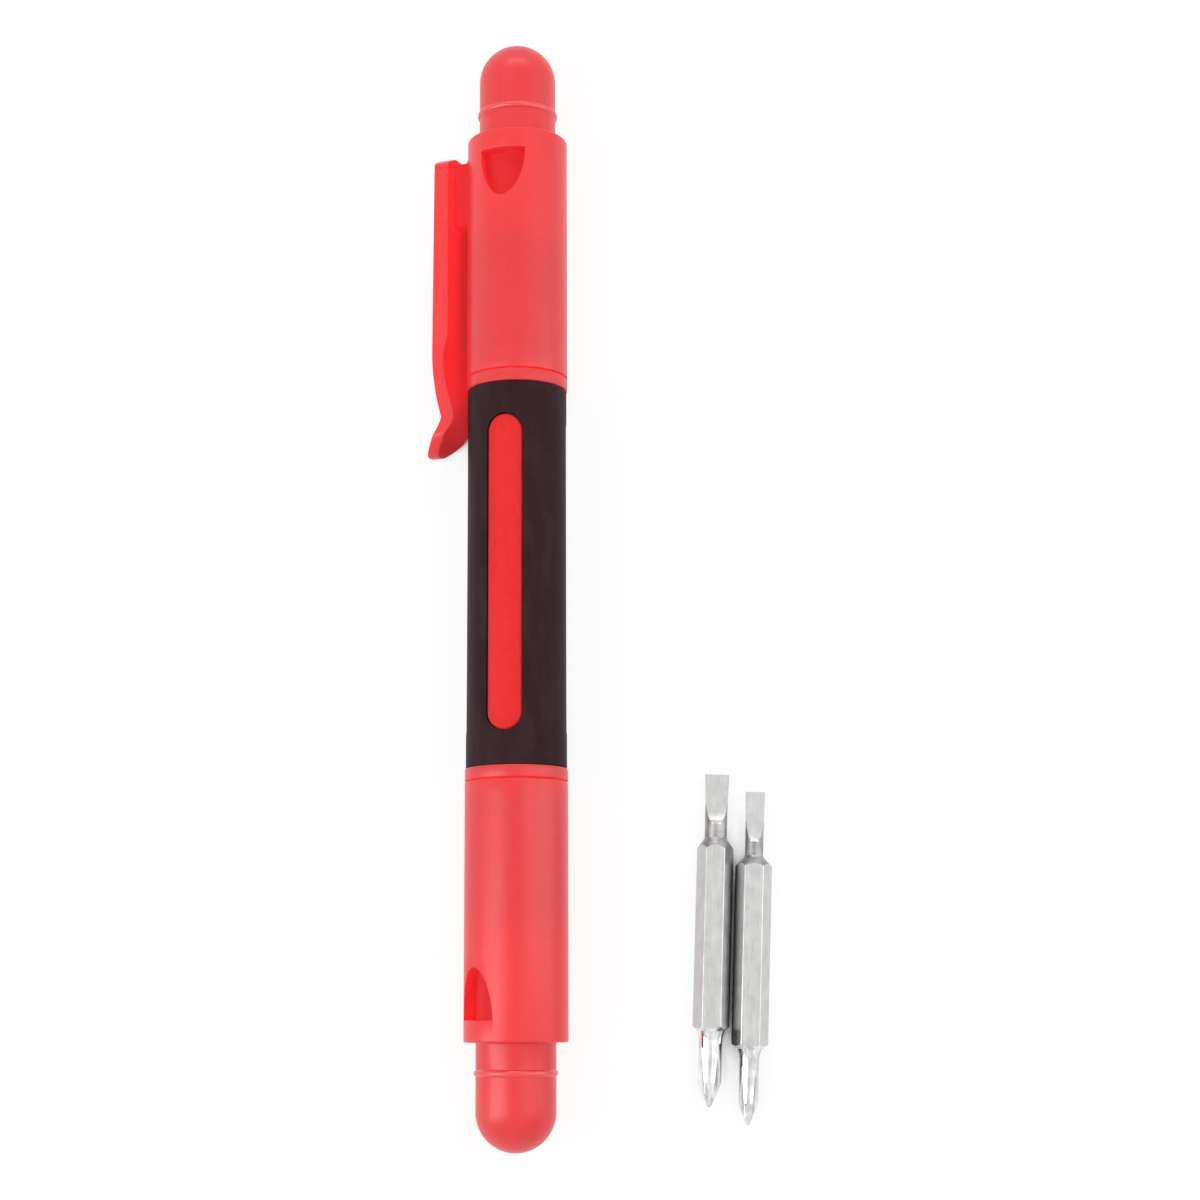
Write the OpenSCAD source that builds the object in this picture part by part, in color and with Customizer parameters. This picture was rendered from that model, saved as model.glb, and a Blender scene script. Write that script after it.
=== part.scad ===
// Pocket screwdriver: a round handle with a rubber grip, a bit socket in each end, a cap over each
// socket and two double-ended bits that lie beside it. The handle's axis is Y, the end with the
// pocket clip is +Y, and the tool lies on its clip with Z up. The origin is at mid grip, on the axis.

/* [Handle] */
// Outer diameter of the caps and of the handle's collars
barrel_d = 13.55; // [13.2:0.05:15]
// Length of the rubber grip between the collars
grip_len = 51; // [46:0.5:58]
// Length of each collar
collar_len = 1.6; // [1.2:0.05:2.5]
// Diameter of the handle core under the rubber
core_d = 10.6; // [10:0.1:11.2]
// Diameter of each spigot, and of the nose of each cap
spigot_d = 10.4; // [9.8:0.1:10.6]
// Length of each spigot beyond its collar
spigot_len = 13; // [11:0.5:15]
// Height of the snap bead on spigots and noses
bead_h = 0.27; // [0.15:0.01:0.3]
// Width of the snap bead
bead_w = 0.9; // [0.7:0.05:1.2]
// Distance from a shoulder to the middle of its snap bead
bead_inset = 3.85; // [3:0.05:5]

/* [Grip] */
// Outer diameter of the rubber grip at its ends
grip_d = 13.3; // [12.8:0.05:13.5]
// How far the grip's radius draws in at mid length
grip_waist = 0.02; // [0:0.01:0.15]
// Length of the window that shows the core's pad
window_len = 42.2; // [36:0.1:44]
// Width of the window
window_w = 4.9; // [3.5:0.1:6]
// How far the pad lies below the rubber around it
pad_drop = 0.05; // [0:0.01:0.2]
// Angle of the window from the pocket clip, about the handle's axis
window_turn = 97; // [60:1:140]
// Angle from the window's middle to the near edge of each side panel
panel_start = 42; // [36:1:50]
// Angle that each side panel covers
panel_sweep = 96; // [80:1:100]
// Depth of the side panels
panel_depth = 0.06; // [0.05:0.01:0.25]

/* [Caps] */
// Length of a cap from its mouth to the shoulder of its nose
cap_len = 33.45; // [30:0.05:38]
// Straight length of the nose, before its dome
nose_len = 8.7; // [7:0.1:11]
// Rounding of a cap's shoulder
shoulder_round = 0.3; // [0.1:0.05:0.5]
// Chamfer on the rims of caps and collars
rim_chamfer = 0.1; // [0.05:0.01:0.2]
// Depth of the bore that takes the spigot
cap_bore_depth = 18; // [17:0.5:19]
// Wall around the space for the bit inside a nose
nose_wall = 1.6; // [1.2:0.1:2]
// Depth of the groove that takes the snap bead
snap_depth = 0.2; // [0.1:0.01:0.3]
// Length of the groove that takes the snap bead
snap_w = 1.3; // [1.2:0.05:1.8]
// Width of the thumb recess in a cap
recess_w = 6.3; // [5:0.1:7]
// Length of the thumb recess along a cap
recess_len = 6.7; // [5:0.1:7.5]
// Distance from the shoulder to the recess's straight edge
recess_inset = 2.8; // [2:0.1:4]
// Depth of the thumb recess
recess_depth = 1.6; // [1:0.05:1.8]
// Angle of the upper recess from the pocket clip
upper_recess_turn = 93; // [60:1:140]
// Angle of the lower recess from the pocket clip
lower_recess_turn = 58; // [20:1:140]

/* [Pocket clip] */
// Length of the clip from end to end
clip_len = 42; // [38:0.5:46]
// Width of the clip
clip_w = 6.8; // [5.5:0.1:7.5]
// Thickness of the clip at its top and at its kink
clip_t = 2.2; // [1.8:0.05:2.4]
// Thickness of the stretch just above the bend
clip_thick_t = 2.45; // [2.2:0.05:2.5]
// Thickness of the thin stretch of the bend
clip_thin_t = 1.75; // [1.5:0.05:1.8]
// Thickness of the tip
clip_tip_t = 1.6; // [1.2:0.05:1.8]
// How far the clip spreads outwards between its top and its bend
clip_splay = 0.15; // [0:0.05:0.3]
// Rounding of the outer corner at the top of the clip
clip_corner = 0.8; // [0.3:0.1:1.2]
// Gap between the clip and the cap
clip_gap = 2.05; // [1.6:0.05:2.4]
// Distance from the cap's shoulder to the top of the clip
clip_inset = 1.4; // [1:0.1:4]
// Distance from the tip to the sharp kink
kink_from_tip = 4.9; // [4.5:0.05:7]
// Length of the stretch that bends in to the kink
bend_len = 9.4; // [8:0.1:10]
// How far the kink dips towards the handle
kink_dip = 1.4; // [1:0.05:1.5]
// How far the tip flares out from the kink
tip_flare = 3.05; // [2:0.05:3.1]
// Length of the rounded stretch at the tip
tip_round = 2.5; // [2:0.1:3.4]
// Length of the rounded stretch at the top
top_round = 1.3; // [1:0.1:2.5]
// Width of the web that carries the clip
web_w = 3.2; // [2.5:0.1:4]
// Distance from the top of the clip to the top of the web
web_drop = 0.95; // [0.4:0.05:1.2]
// Length of the web along the cap
web_len = 8.9; // [7:0.1:10]

/* [Sockets] */
// Outer diameter of the steel bit sockets
socket_d = 7; // [6.6:0.1:7.4]
// Length of the bit sockets
socket_len = 20; // [16:0.5:22]
// Diameter of the blind hole behind each socket, for the bit's inner end
tail_d = 3.8; // [3.6:0.1:4.2]
// Depth of the blind hole behind each socket
tail_len = 12; // [11:0.5:14]
// Distance across the two flats that keep a socket from turning
key_flats = 6; // [5.7:0.05:6.3]
// Length of the keyed stretch of a socket
key_len = 8; // [5:0.5:10]
// Wire diameter of the ring that holds a bit
ring_wire = 0.5; // [0.4:0.05:0.55]
// Distance from the socket's mouth to the ring
ring_inset = 3; // [2:0.1:5]
// Gap between the ring's ends, as an angle
ring_gap_angle = 50; // [20:1:90]

/* [Bits] */
// Distance across the flats of a bit's hexagonal body
hex_flats = 4.2; // [4:0.01:4.3]
// Diameter that the corners of the hexagon are turned to
hex_turned_d = 4.8; // [4.6:0.01:4.84]
// Length of the hexagonal body
hex_len = 23.1; // [20:0.1:26]
// Length of a bit's flat-blade end
blade_end_len = 9.8; // [9:0.1:11]
// Length of a bit's cross-point end
cross_end_len = 10.3; // [9.5:0.1:11]
// Length of the cone between the body and the blade's neck
cone_len = 1.4; // [1.2:0.1:2.2]
// Length of the shoulder between the body and the cross point's shaft
shoulder_len = 0.6; // [0.3:0.1:1]
// How much thicker the shaft starts at its shoulder
shaft_flare = 0.3; // [0.1:0.05:0.4]
// Length of the stretch where the shaft thins from its shoulder
shaft_flare_len = 1.3; // [0.8:0.1:1.5]
// Length of the ground faces of a blade
blade_ground_len = 6.6; // [5:0.1:7.5]
// Length of the flutes of a cross point
flute_len = 8; // [6:0.1:8]
// Width of the large bit's blade
large_blade_w = 3.2; // [3:0.05:3.4]
// Thickness of the large bit's blade at its edge
large_blade_t = 0.6; // [0.4:0.05:0.8]
// Diameter of the large bit's neck behind the blade
large_neck_d = 2.95; // [2.7:0.05:3]
// Diameter of the large bit's cross-point shaft
large_shaft_d = 3.05; // [2.8:0.05:3.2]
// Length of the large bit's point
large_point_len = 3.1; // [2.5:0.1:3.5]
// Width of the small bit's blade
small_blade_w = 2.6; // [2.4:0.05:2.8]
// Thickness of the small bit's blade at its edge
small_blade_t = 0.45; // [0.3:0.05:0.6]
// Diameter of the small bit's neck behind the blade
small_neck_d = 2.4; // [2.2:0.05:2.5]
// Diameter of the small bit's cross-point shaft
small_shaft_d = 2.55; // [2.3:0.05:2.7]
// Length of the small bit's point
small_point_len = 2.8; // [2.3:0.1:3.2]

/* [Layout] */
// Distance from the handle's axis to the large bit, at its mid length
large_bit_x = 25.6; // [22:0.1:40]
// How far the large bit's mid length lies towards the lower cap
large_bit_drop = 47.25; // [0:0.05:60]
// Distance between the axes of the two bits
bit_spacing = 5.1; // [5.1:0.05:12]
// How far the small bit lies beyond the large one
small_bit_drop = 2.15; // [0:0.05:6]
// Angle between the bits and the handle
bit_lean = 2.2; // [0:0.1:8]

/* [Fits] */
// Gap between a cap's mouth and its collar
cap_seat_gap = 0.2; // [0.1:0.01:0.3]
// Radial clearance of a snap bead in its cap
bead_clear = 0.06; // [0.04:0.01:0.1]
// Radial clearance of pieces that are pressed or bonded in place
seat_clear = 0.02; // [0.01:0.01:0.04]
// Gap around the pad in its window
window_clear = 0.1; // [0.05:0.01:0.15]
// Clearance on each flat of a bit in its socket
hex_clear = 0.05; // [0.03:0.01:0.08]
// Clearance around the ring in its groove
ring_clear = 0.05; // [0.03:0.01:0.08]
// How far the ring reaches over the corners of a bit
ring_grip = 0.04; // [0.02:0.01:0.06]
// Gap at the line where the clip flexes
flex_gap = 0.2; // [0.15:0.01:0.3]

/* [Hidden] */
$fn = 64;

// How far a cut runs past the surface it opens
overrun = 0.5;
// Steps along a curved stretch of an outline
curve_steps = 12;
// Share of the flare's shape: 1 is straight, more starts softer
flare_curve_share = 1.3;
// Share of the bend's length, from the kink, where the clip is thick again
thick_share = 1.15;
// Share of the bend's length, from the kink, where the thin stretch ends
thin_high_share = 1;
// Share of the bend's length, from the kink, where the thin stretch starts
thin_low_share = 0.55;
// Share of a cross point's diameter that is left at its tip and between its flutes
tip_flat_share = 0.15;
// Share of the ground faces' shape: 1 is straight, more is hollow
blade_hollow_share = 3;

barrel_r = barrel_d / 2;
core_r = core_d / 2;
spigot_r = spigot_d / 2;
bead_r = spigot_r + bead_h;
bead_round = (pow(bead_w / 2, 2) + pow(bead_h, 2)) / (2 * bead_h);
grip_r = grip_d / 2;
waist_r = grip_r - grip_waist;
pad_r = waist_r - pad_drop;
panel_r = waist_r - panel_depth;

collar_face = grip_len / 2 + collar_len;
spigot_end = collar_face + spigot_len;
cap_mouth = collar_face + cap_seat_gap;
cap_shoulder = cap_mouth + cap_len;

cap_bore_r = bead_r + bead_clear;
snap_r = cap_bore_r + snap_depth;
snap_middle = bead_inset - cap_seat_gap;
bit_space_r = spigot_r - nose_wall;
recess_r = barrel_r - recess_depth;

clip_in_r = barrel_r + clip_gap;
clip_out_r = clip_in_r + clip_t;
clip_bend_r = clip_out_r + clip_splay;
clip_top = cap_shoulder - clip_inset;
clip_tip = clip_top - clip_len;
kink_r = clip_bend_r - kink_dip;
bend_start = kink_from_tip + bend_len;
web_top = clip_top - web_drop;
web_bottom = web_top - web_len;
flex_line = web_bottom - flex_gap;
// The tool lies on a cap and on the lower corner of its clip, which sets how far it has rolled
clip_roll = asin(barrel_r / norm([clip_bend_r, clip_w / 2])) - atan2(clip_w / 2, clip_bend_r);

socket_r = socket_d / 2;
socket_bottom = spigot_end - socket_len;
socket_hex_r = (hex_flats / 2 + hex_clear) / cos(30);
ring_r = hex_turned_d / 2 - ring_grip + ring_wire / 2;
ring_place = spigot_end - ring_inset;

hex_r = hex_flats / 2 / cos(30);
bit_rest_z = hex_flats / 2 - barrel_r;

// Thickness of the clip at a distance s from its tip
function clip_thickness(s) = lookup(s, [
    [0, clip_tip_t],
    [kink_from_tip, clip_t],
    [kink_from_tip + bend_len * thin_low_share, clip_thin_t],
    [kink_from_tip + bend_len * thin_high_share, clip_thin_t],
    [kink_from_tip + bend_len * thick_share, clip_thick_t],
    [clip_len, clip_t]
]);

// Outer radius of the clip at a distance s from its tip
function clip_outer(s) =
    s < kink_from_tip
    ? kink_r + tip_flare * pow(1 - s / kink_from_tip, flare_curve_share)
    : s < bend_start
    ? clip_bend_r - kink_dip * pow((bend_start - s) / bend_len, 2)
    : clip_bend_r - clip_splay * (s - bend_start) / (clip_len - bend_start);

// Stations along the clip, close together where it bends
clip_stations = concat(
    [for (i = [0 : curve_steps - 1]) kink_from_tip * i / curve_steps],
    [for (i = [0 : curve_steps]) kink_from_tip + bend_len * i / curve_steps],
    [kink_from_tip + bend_len * thick_share, clip_len]
);

// Puts a piece drawn along Z, with the clip towards X, into the lying tool
module lay() {
    rotate([-90, 180 - clip_roll, 0]) children();
}

// Repeats a piece of one end at the other end
module other_end() {
    rotate([180, 0, 0]) children();
}

// Cylinder with chamfered rims
module rimmed_cylinder(radius, height) {
    rotate_extrude()
        polygon([
            [0, 0],
            [radius - rim_chamfer, 0],
            [radius, rim_chamfer],
            [radius, height - rim_chamfer],
            [radius - rim_chamfer, height],
            [0, height]
        ]);
}

// Snap bead around a spigot or nose, centred on height z
module snap_bead(z) {
    rotate_extrude()
        translate([bead_r - bead_round, z])
        circle(bead_round);
}

// Slot with full-round ends, along Z, through one side of the handle
module window_slot(grow) {
    radius = window_w / 2 + grow;
    straight = window_len / 2 - window_w / 2;
    rotate([0, 0, window_turn])
        rotate([90, 0, 90])
        linear_extrude(barrel_r + overrun) {
            square([2 * radius, 2 * straight], center = true);
            for (side = [-1, 1])
                translate([0, side * straight])
                circle(radius);
        }
}

// Half of the handle core: collar, spigot with its bead, and a share of the middle
module core_half() {
    cylinder(r = core_r, h = grip_len / 2 + collar_len / 2);
    translate([0, 0, grip_len / 2])
        rimmed_cylinder(barrel_r, collar_len);
    translate([0, 0, collar_face - collar_len / 2])
        rimmed_cylinder(spigot_r, spigot_len + collar_len / 2);
    snap_bead(collar_face + bead_inset);
}

// Round socket body with two key flats at its inner end
module socket_body(grow) {
    difference() {
        translate([0, 0, socket_bottom - grow])
            cylinder(r = socket_r + grow, h = socket_len + grow);
        for (side = [-1, 1])
            translate([side * (key_flats / 2 + grow + socket_r), 0, socket_bottom])
            cube([2 * socket_r, 2 * (socket_r + overrun), 2 * key_len], center = true);
    }
}

// Space inside a handle end: the socket's seat and the blind hole behind it
module core_bore() {
    socket_body(seat_clear);
    translate([0, 0, spigot_end - overrun])
        cylinder(r = socket_r + seat_clear, h = 2 * overrun);
    translate([0, 0, socket_bottom - tail_len])
        cylinder(d = tail_d, h = tail_len + overrun);
}

module handle_core() {
    color([0.94, 0.2, 0.2])
        lay()
        difference() {
            union() {
                core_half();
                other_end() core_half();
                intersection() {
                    cylinder(r = pad_r, h = grip_len, center = true);
                    window_slot(-window_clear);
                }
            }
            core_bore();
            other_end() core_bore();
        }
}

// Waisted outline of the grip, as a solid of revolution
module grip_blank() {
    half = grip_len / 2 - seat_clear;
    rotate_extrude()
        polygon(concat(
            [[0, -half]],
            [for (i = [-curve_steps : curve_steps])
                [waist_r + grip_waist * pow(i / curve_steps, 2), half * i / curve_steps]],
            [[0, half]]
        ));
}

// Shallow panel cut into one side of the grip
module side_panel(start) {
    rotate([0, 0, window_turn + start])
        rotate_extrude(angle = panel_sweep)
        translate([panel_r, -window_len / 2])
        square([barrel_r - panel_r + overrun, window_len]);
}

module grip_sleeve() {
    color([0.23, 0.19, 0.19])
        lay()
        difference() {
            grip_blank();
            cylinder(r = core_r + seat_clear, h = grip_len + overrun, center = true);
            window_slot(0);
            side_panel(panel_start);
            side_panel(-panel_start - panel_sweep);
        }
}

// Steel socket of one handle end, with its hexagonal hole and the groove for the ring
module bit_socket() {
    groove_r = ring_r + ring_wire / 2 + ring_clear;
    groove_w = ring_wire + 2 * ring_clear;
    difference() {
        socket_body(0);
        translate([0, 0, socket_bottom - overrun])
            cylinder(r = socket_hex_r, h = socket_len + 2 * overrun, $fn = 6);
        translate([0, 0, ring_place - groove_w / 2])
            cylinder(r = groove_r, h = groove_w);
    }
}

module upper_bit_socket() {
    color([0.72, 0.73, 0.75])
        lay() bit_socket();
}

module lower_bit_socket() {
    color([0.72, 0.73, 0.75])
        lay() other_end() bit_socket();
}

// Split wire ring that grips a bit in its socket
module retaining_ring() {
    translate([0, 0, ring_place])
        rotate_extrude(angle = 360 - ring_gap_angle)
        translate([ring_r, 0])
        circle(d = ring_wire, $fn = 24);
}

module upper_retaining_ring() {
    color([0.6, 0.6, 0.62])
        lay() retaining_ring();
}

module lower_retaining_ring() {
    color([0.6, 0.6, 0.62])
        lay() other_end() retaining_ring();
}

// Outside of a cap without its clip
module cap_outside() {
    rotate_extrude()
        polygon(concat(
            [[0, cap_mouth], [barrel_r - rim_chamfer, cap_mouth], [barrel_r, cap_mouth + rim_chamfer]],
            [for (i = [0 : curve_steps])
                [barrel_r - shoulder_round, cap_shoulder - shoulder_round]
                + shoulder_round * [cos(90 * i / curve_steps), sin(90 * i / curve_steps)]],
            [[0, cap_shoulder]]
        ));
    translate([0, 0, cap_shoulder - overrun])
        cylinder(r = spigot_r, h = nose_len + overrun);
    translate([0, 0, cap_shoulder + nose_len])
        sphere(spigot_r);
    snap_bead(cap_shoulder + bead_inset);
}

// Space inside a cap: the bore over the spigot, the snap groove and the room for the bit
module cap_inside() {
    cone = cap_bore_r - bit_space_r;
    translate([0, 0, cap_mouth - overrun])
        cylinder(r = cap_bore_r, h = cap_bore_depth + overrun);
    translate([0, 0, cap_mouth + snap_middle - snap_w / 2])
        cylinder(r = snap_r, h = snap_w);
    translate([0, 0, cap_mouth + cap_bore_depth])
        cylinder(r1 = cap_bore_r, r2 = bit_space_r, h = cone);
    translate([0, 0, cap_mouth + cap_bore_depth])
        cylinder(r = bit_space_r, h = cap_shoulder + nose_len - cap_mouth - cap_bore_depth);
    translate([0, 0, cap_shoulder + nose_len])
        sphere(bit_space_r);
}

// Thumb recess: half an ellipse in outline, with a round floor
module thumb_recess(turn) {
    difference() {
        rotate([0, 0, turn])
            translate([0, 0, cap_shoulder - recess_inset])
            rotate([90, 0, 90])
            linear_extrude(barrel_r + overrun)
            polygon([for (i = [0 : 2 * curve_steps])
                [recess_w / 2 * cos(90 * i / curve_steps), -recess_len * sin(90 * i / curve_steps)]]);
        cylinder(r = recess_r, h = cap_shoulder);
    }
}

module cap_shell(recess_turn) {
    difference() {
        cap_outside();
        cap_inside();
        thumb_recess(recess_turn);
    }
}

// Whole clip, from its side profile and its outline seen from outside
module clip_blank() {
    corner = [clip_out_r - clip_corner, clip_top - clip_corner];
    last = len(clip_stations) - 1;
    side = concat(
        [for (i = [0 : last - 1]) [clip_outer(clip_stations[i]), clip_tip + clip_stations[i]]],
        [for (i = [0 : curve_steps])
            corner + clip_corner * [cos(90 * i / curve_steps), sin(90 * i / curve_steps)]],
        [for (i = [last : -1 : 0])
            let (s = clip_stations[i])
            [clip_outer(s) - clip_thickness(s), clip_tip + s]]
    );
    intersection() {
        rotate([90, 0, 0])
            linear_extrude(clip_w, center = true)
            polygon(side);
        rotate([90, 0, 90])
            linear_extrude(clip_bend_r + tip_flare)
            polygon(concat(
                [for (i = [curve_steps : -1 : -curve_steps])
                    [clip_w / 2 * i / curve_steps, clip_top - top_round * pow(i / curve_steps, 2)]],
                [for (i = [-curve_steps : curve_steps])
                    [clip_w / 2 * i / curve_steps, clip_tip + tip_round * pow(i / curve_steps, 2)]]
            ));
    }
}

// Everything of the clip above a height
module above(z) {
    translate([0, -clip_w, z])
        cube([2 * clip_out_r, 2 * clip_w, clip_len]);
}

// Fixed upper end of the clip, with the web that joins it to the cap
module clip_root() {
    intersection() {
        clip_blank();
        above(flex_line + flex_gap / 2);
    }
    difference() {
        translate([0, -web_w / 2, web_bottom])
            cube([clip_in_r + clip_t / 2, web_w, web_len]);
        cylinder(r = (barrel_r + recess_r) / 2, h = cap_shoulder);
    }
}

module upper_cap() {
    color([0.94, 0.3, 0.3])
        lay() {
            cap_shell(upper_recess_turn);
            clip_root();
        }
}

module pocket_clip() {
    color([0.94, 0.27, 0.27])
        lay()
        difference() {
            clip_blank();
            above(flex_line - flex_gap / 2);
        }
}

module lower_cap() {
    color([0.94, 0.3, 0.3])
        lay() other_end() cap_shell(-lower_recess_turn);
}

// Outline of a bit from the cross point, below, to the blade, above
module bit_turned(neck_d, blade_w, shaft_d, point_len) {
    half = hex_len / 2;
    rotate_extrude()
        polygon([
            [0, -half - cross_end_len],
            [shaft_d / 2 * tip_flat_share, -half - cross_end_len],
            [shaft_d / 2, -half - cross_end_len + point_len],
            [shaft_d / 2, -half - shoulder_len - shaft_flare_len],
            [shaft_d / 2 + shaft_flare, -half - shoulder_len],
            [hex_turned_d / 2, -half],
            [hex_turned_d / 2, half],
            [neck_d / 2, half + cone_len],
            [neck_d / 2, half + blade_end_len - blade_ground_len],
            [blade_w / 2, half + blade_end_len],
            [0, half + blade_end_len]
        ]);
}

// One of the two ground faces of a blade
module blade_face(neck_d, blade_w, blade_t) {
    end = hex_len / 2 + blade_end_len;
    rotate([90, 0, 90])
        linear_extrude(2 * blade_w, center = true)
        polygon(concat(
            [[blade_w, end - blade_ground_len], [blade_w, end + overrun], [blade_t / 2, end + overrun]],
            [for (i = [0 : curve_steps])
                [blade_t / 2 + (neck_d - blade_t) / 2 * pow(i / curve_steps, blade_hollow_share),
                    end - blade_ground_len * i / curve_steps]]
        ));
}

// One of the four flutes of a cross point, a square groove that runs out towards the body
module flute(shaft_d) {
    end = -hex_len / 2 - cross_end_len;
    root = shaft_d * tip_flat_share;
    slope = atan2(shaft_d / 2 - root, flute_len);
    translate([root, 0, end])
        rotate([0, slope, 0])
        translate([0, 0, -overrun])
        linear_extrude(flute_len + 2 * overrun)
        polygon([[0, 0], [shaft_d, -shaft_d], [shaft_d, shaft_d]]);
}

module bit(neck_d, blade_w, blade_t, shaft_d, point_len) {
    difference() {
        intersection() {
            bit_turned(neck_d, blade_w, shaft_d, point_len);
            cylinder(r = hex_r, h = 2 * (hex_len + cross_end_len), center = true, $fn = 6);
        }
        for (side = [0, 1])
            mirror([0, side, 0])
            blade_face(neck_d, blade_w, blade_t);
        for (i = [0 : 3])
            rotate([0, 0, 90 * i + 45])
            flute(shaft_d);
    }
}

// Lays a bit on its flats beside the tool: how far across, and how far along
module lay_bit(across, along) {
    translate([large_bit_x, -large_bit_drop, bit_rest_z])
        rotate([-90, 0, -bit_lean])
        translate([across, 0, -along])
        children();
}

module large_bit() {
    color([0.75, 0.76, 0.77])
        lay_bit(0, 0)
        bit(large_neck_d, large_blade_w, large_blade_t, large_shaft_d, large_point_len);
}

module small_bit() {
    color([0.75, 0.76, 0.77])
        lay_bit(bit_spacing, small_bit_drop)
        bit(small_neck_d, small_blade_w, small_blade_t, small_shaft_d, small_point_len);
}

handle_core();
grip_sleeve();
upper_bit_socket();
lower_bit_socket();
upper_retaining_ring();
lower_retaining_ring();
upper_cap();
pocket_clip();
lower_cap();
large_bit();
small_bit();
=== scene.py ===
"""Pocket screwdriver with a rubber grip, two caps and two double-ended bits, dressed on its frame."""

import logging
import math
from collections.abc import Callable, Iterator, Sequence
from contextlib import contextmanager
from dataclasses import dataclass
from enum import Enum
from itertools import pairwise

import bmesh
import bpy
from mathutils import Matrix, Vector


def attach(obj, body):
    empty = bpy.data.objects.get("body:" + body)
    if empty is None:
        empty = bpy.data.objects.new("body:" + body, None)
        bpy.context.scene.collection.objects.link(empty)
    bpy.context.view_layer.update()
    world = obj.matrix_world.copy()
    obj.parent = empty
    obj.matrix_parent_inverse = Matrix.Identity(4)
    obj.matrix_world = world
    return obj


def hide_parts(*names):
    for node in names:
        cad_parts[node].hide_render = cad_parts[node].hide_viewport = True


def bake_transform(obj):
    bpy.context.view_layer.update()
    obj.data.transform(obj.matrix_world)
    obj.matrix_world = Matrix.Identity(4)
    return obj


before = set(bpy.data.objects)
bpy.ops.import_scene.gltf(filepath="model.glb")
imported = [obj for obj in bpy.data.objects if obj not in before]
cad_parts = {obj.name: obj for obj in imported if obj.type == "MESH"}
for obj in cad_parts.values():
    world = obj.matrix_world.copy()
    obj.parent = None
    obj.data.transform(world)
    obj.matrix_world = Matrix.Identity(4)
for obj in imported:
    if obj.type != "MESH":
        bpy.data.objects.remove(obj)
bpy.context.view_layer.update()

log = logging.getLogger("pocket_screwdriver")

MM = 0.001
CLIP_ROLL = math.radians(18.529)
# Puts a piece drawn along Z, with the clip towards X, into the lying tool.
LAY = Matrix.Rotation(math.pi - CLIP_ROLL, 4, "Y") @ Matrix.Rotation(-math.pi / 2, 4, "X")
OTHER_END = LAY @ Matrix.Rotation(math.pi, 4, "X")
# Height of the table, and where the pair of bits lies on it, in millimetres and degrees.
TABLE = -6.775
BITS_PLACE = (25.6, -47.25)
BITS_LEAN = 2.2
# Edges of round mouldings that are sharper than this many degrees stay crisp.
CRISP = 32

Point = tuple[float, float]
Colour = tuple[float, float, float]


class Part(Enum):
    """What a choice in edit mode is made of."""

    VERTS = "VERT"
    EDGES = "EDGE"
    FACES = "FACE"


class SteelMark(Enum):
    """Direction of the fine lines that the making left on a steel piece."""

    TURNED = "turned"
    DRAWN = "drawn"
    PLAIN = "plain"
    POLISHED = "polished"


# Modelling bench


def clear() -> None:
    """Deselects every object, so that the next primitive is alone."""
    bpy.ops.object.select_all(action="DESELECT")


def everything() -> None:
    """Selects all of the open piece."""
    bpy.ops.mesh.select_all(action="SELECT")


def pull(way: Vector | tuple[float, float, float]) -> None:
    """Extrudes the selection of the open piece.

    Args:
        way: Where to, in metres.
    """
    bpy.ops.mesh.extrude_region_move(TRANSFORM_OT_translate={"value": way})


def heading(degrees: float) -> Vector:
    """Flat unit vector at an angle from X."""
    return Vector((math.cos(math.radians(degrees)), math.sin(math.radians(degrees))))


def about_z(degrees: float) -> Matrix:
    """Turn about Z by an angle."""
    return Matrix.Rotation(math.radians(degrees), 4, "Z")


def pick(piece: bpy.types.Object) -> bpy.types.Object:
    """Makes a piece the only selected object and the active one.

    Args:
        piece: The object to work on.

    Returns:
        The same object.
    """
    clear()
    piece.select_set(True)
    bpy.context.view_layer.objects.active = piece
    return piece


def fresh(name: str) -> bpy.types.Object:
    """Names the primitive that was just added and leaves its place in its mesh.

    Args:
        name: Name for the object and its mesh.

    Returns:
        The object.
    """
    piece = bpy.context.object
    piece.name = piece.data.name = name
    bpy.ops.object.transform_apply(location=True, rotation=True, scale=True)
    return piece


@contextmanager
def editing(piece: bpy.types.Object) -> Iterator[None]:
    """Keeps a piece open in edit mode, with all its verts selected at first.

    Args:
        piece: The object to open. Its faces are turned outwards when it is closed.
    """
    pick(piece)
    bpy.ops.object.mode_set(mode="EDIT")
    bpy.ops.mesh.select_mode(type=Part.VERTS.value)
    everything()
    yield
    everything()
    bpy.ops.mesh.normals_make_consistent(inside=False)
    bpy.ops.object.mode_set(mode="OBJECT")


def choose(piece: bpy.types.Object, part: Part, wanted: Callable[[object], bool]) -> None:
    """Selects the verts, edges or faces of a piece in edit mode that pass a test.

    Args:
        piece: The piece that is open.
        part: What to select.
        wanted: Test that an element has to pass.
    """
    bpy.ops.mesh.select_mode(type=part.value)
    bpy.ops.mesh.select_all(action="DESELECT")
    mesh = bmesh.from_edit_mesh(piece.data)
    mesh.normal_update()
    group = {Part.VERTS: mesh.verts, Part.EDGES: mesh.edges, Part.FACES: mesh.faces}[part]
    for element in [element for element in group if wanted(element)]:
        element.select_set(True)
    mesh.select_flush_mode()
    bmesh.update_edit_mesh(piece.data)


def is_sharp(edge: bmesh.types.BMEdge, angle: float, wanted: Callable[[Vector], bool]) -> bool:
    """Tells whether an edge is sharp and lies where it is wanted.

    Args:
        edge: The edge.
        angle: Smallest angle between its two faces, in degrees.
        wanted: Test that the place of each of its verts has to pass.

    Returns:
        True if it is.
    """
    return (len(edge.link_faces) == 2 and edge.calc_face_angle(0) >= math.radians(angle)
            and all(wanted(vertex.co) for vertex in edge.verts))


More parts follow.
